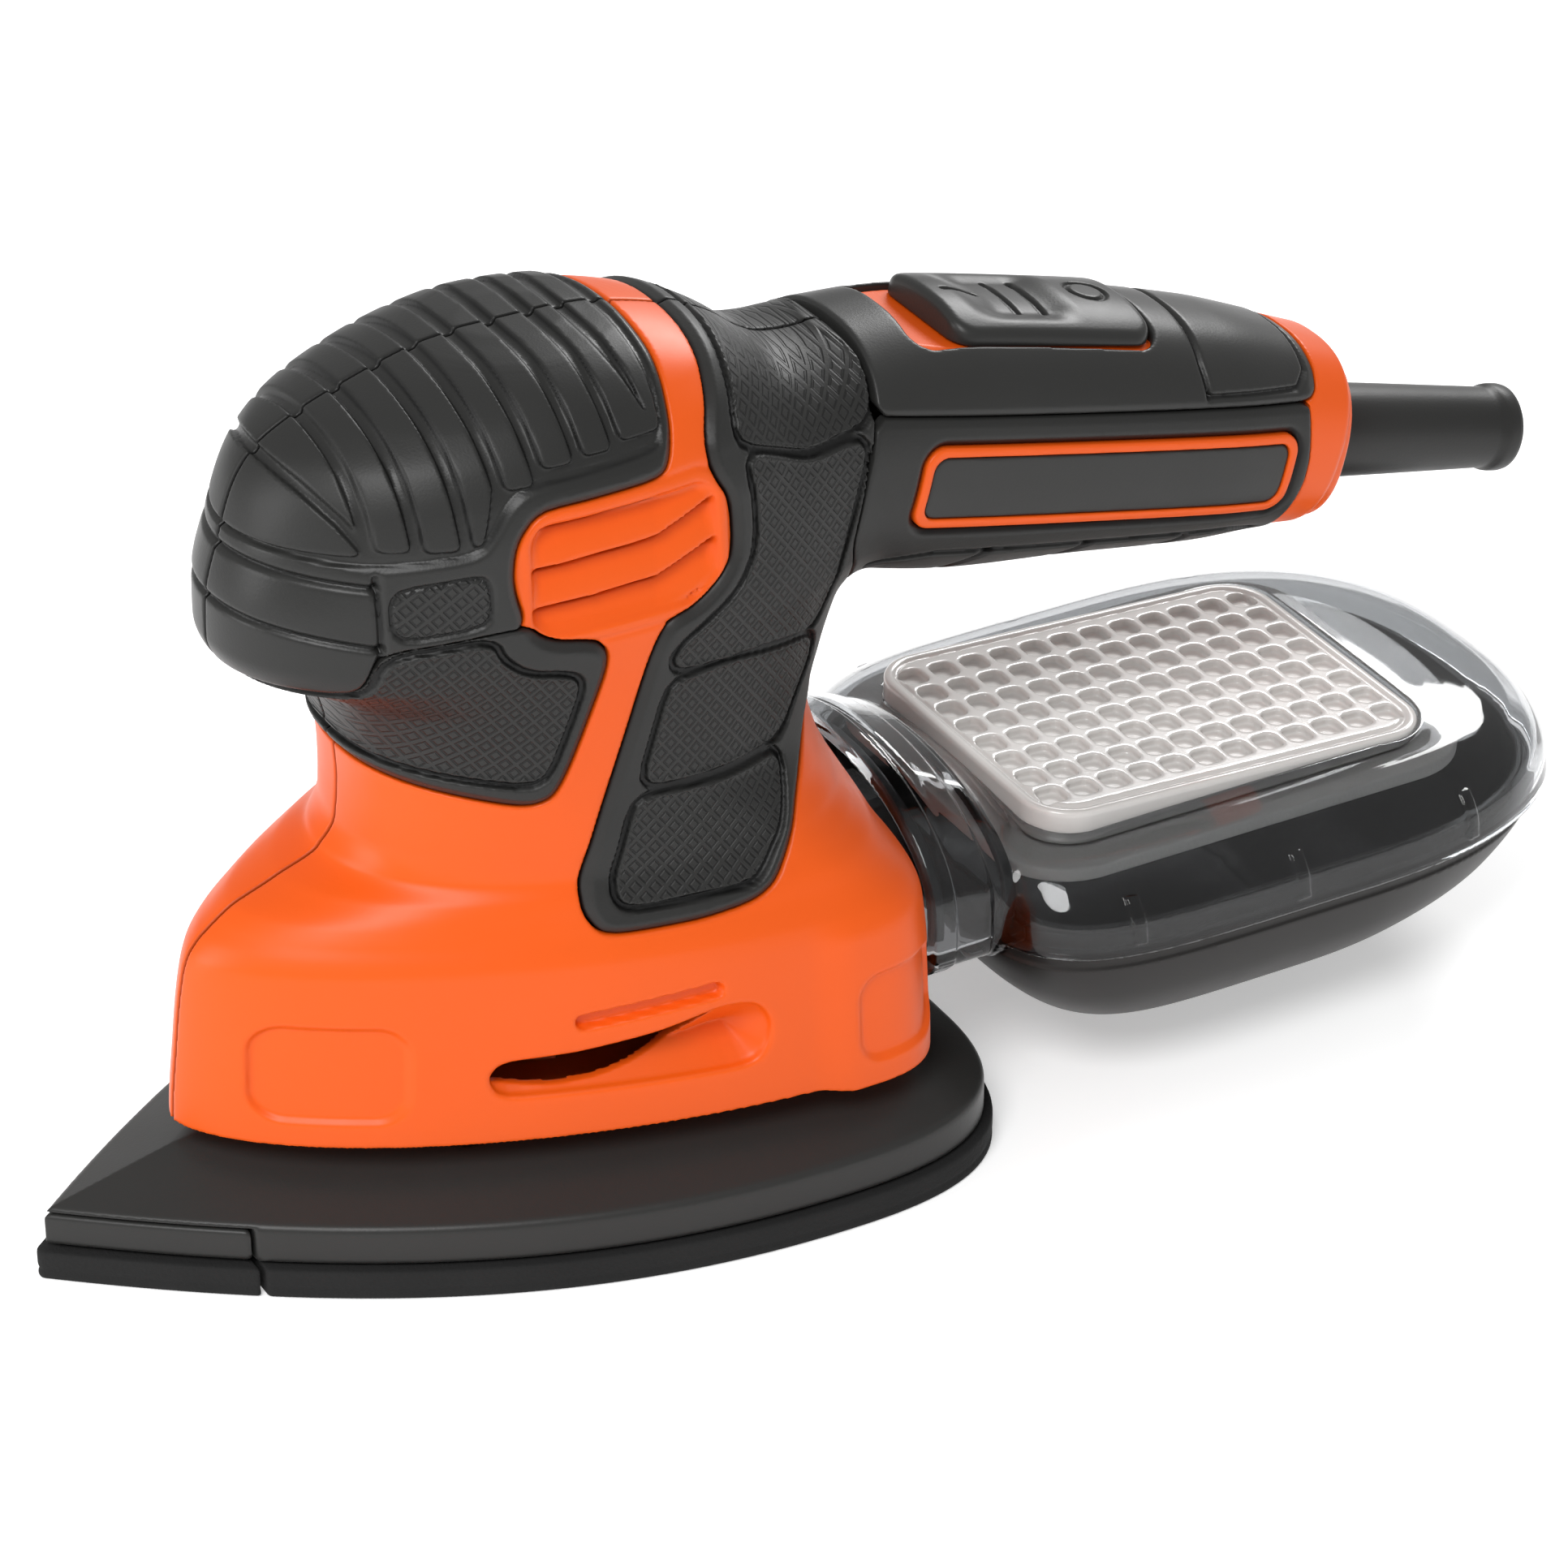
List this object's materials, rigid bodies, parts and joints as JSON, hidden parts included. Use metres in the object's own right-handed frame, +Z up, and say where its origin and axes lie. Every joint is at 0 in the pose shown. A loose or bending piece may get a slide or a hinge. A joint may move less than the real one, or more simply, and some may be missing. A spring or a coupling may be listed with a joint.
{
  "type": "orbital sander",
  "caption": "Palm detail sander with a teardrop platen, rubber grips, a rear handle with a slide switch, and a clear-lidded dust box behind the skirt.",
  "frame": {"origin": "on the flat sanding face of the pad, under the motor shaft", "axes": "+Z up along the motor shaft, +X back along the handle, -X towards the tip of the platen, -Y the left side"},
  "size_m": [0.2519, 0.0948, 0.1346],
  "materials": {
    "orange_shell": "fine satin moulded plastic",
    "grip_rubber": "soft moulded rubber",
    "grey_plastic": "fine moulded texture",
    "dark_plastic": "fine moulded texture",
    "pad_foam": "dense foam with a hook face",
    "clear_plastic": "clear, lightly smoked",
    "filter_paper": "pale filter paper and its frame",
    "steel": "ground steel",
    "laminations": "stacked laminations",
    "copper": "varnished copper",
    "brass": "stamped brass",
    "carbon": "pressed carbon",
    "black_nylon": "moulded nylon"
  },
  "bodies": {
    "casing": {"housing_left": "orange_shell", "housing_right": "orange_shell", "nose_grip_left": "grip_rubber", "nose_grip_right": "grip_rubber", "front_grip_left": "grip_rubber", "front_grip_right": "grip_rubber", "rear_grip_left": "grip_rubber", "rear_grip_right": "grip_rubber", "handle_grip_left": "grip_rubber", "handle_grip_right": "grip_rubber", "cord_sleeve": "grip_rubber", "upper_bearing_cup": "grip_rubber", "handle_cover": "grey_plastic", "badge_plate_left": "grey_plastic", "badge_plate_right": "grey_plastic", "fan_baffle": "dark_plastic", "skirt_front_screw": "steel", "neck_rear_screw": "steel", "head_front_screw": "steel", "handle_front_screw": "steel", "handle_rear_screw": "steel", "clamp_screw_upper": "steel", "clamp_screw_lower": "steel", "upper_bearing": "steel", "lower_bearing": "steel", "brush_spring_front": "steel", "brush_spring_rear": "steel", "stator_core": "laminations", "field_coil_front": "copper", "field_coil_rear": "copper", "brush_holder_front": "brass", "brush_holder_rear": "brass", "carbon_brush_front": "carbon", "carbon_brush_rear": "carbon", "switch_body": "black_nylon", "capacitor": "black_nylon", "cord_clamp": "black_nylon", "brush_plate": "black_nylon"},
    "platen": {"platen": "grey_plastic", "tip_holder": "grey_plastic", "tip_screw": "steel", "sanding_pad": "pad_foam", "tip_pad": "pad_foam", "platen_bearing": "steel", "flexible_leg_front": "grip_rubber", "flexible_leg_rear_right": "grip_rubber", "flexible_leg_rear_left": "grip_rubber"},
    "armature": {"armature_core": "laminations", "armature_winding_upper": "copper", "armature_winding_lower": "copper", "commutator": "copper", "motor_shaft": "steel", "fan": "black_nylon", "counterweight": "steel", "platen_screw": "steel"},
    "switch": {"switch_slider": "grey_plastic"},
    "dust_box": {"dust_box_lid": "clear_plastic"},
    "tray": {"dust_box_tray": "dark_plastic"},
    "filter": {"filter_frame": "filter_paper", "filter_media": "filter_paper"}
  },
  "joints": [
    {"name": "armature_spin", "type": "hinge", "parent": "casing", "child": "armature", "pos_m": [0, 0, 0.08], "axis": [0, 0, 1], "continuous": true},
    {"name": "platen_orbit", "type": "hinge", "parent": "armature", "child": "platen", "pos_m": [0.0008, 0, 0.018], "axis": [0, 0, 1], "continuous": true},
    {"name": "switch_slide", "type": "slide", "parent": "casing", "child": "switch", "axis": [-0.9724, 0, 0.2334], "range_m": [0, 0.006]},
    {"name": "dust_box_slide", "type": "slide", "parent": "casing", "child": "dust_box", "axis": [1, 0, 0], "range_m": [0, 0.06]},
    {"name": "tray_release", "type": "slide", "parent": "dust_box", "child": "tray", "axis": [0, 0, -1], "range_m": [0, 0.04]},
    {"name": "filter_release", "type": "slide", "parent": "dust_box", "child": "filter", "axis": [0, 0, -1], "range_m": [0, 0.02]}
  ],
  "couplings": [
    {"joint": "platen_orbit", "follows": "armature_spin", "ratio": -1},
    {"joint": "filter_release", "follows": "tray_release", "ratio": 0.5}
  ]
}
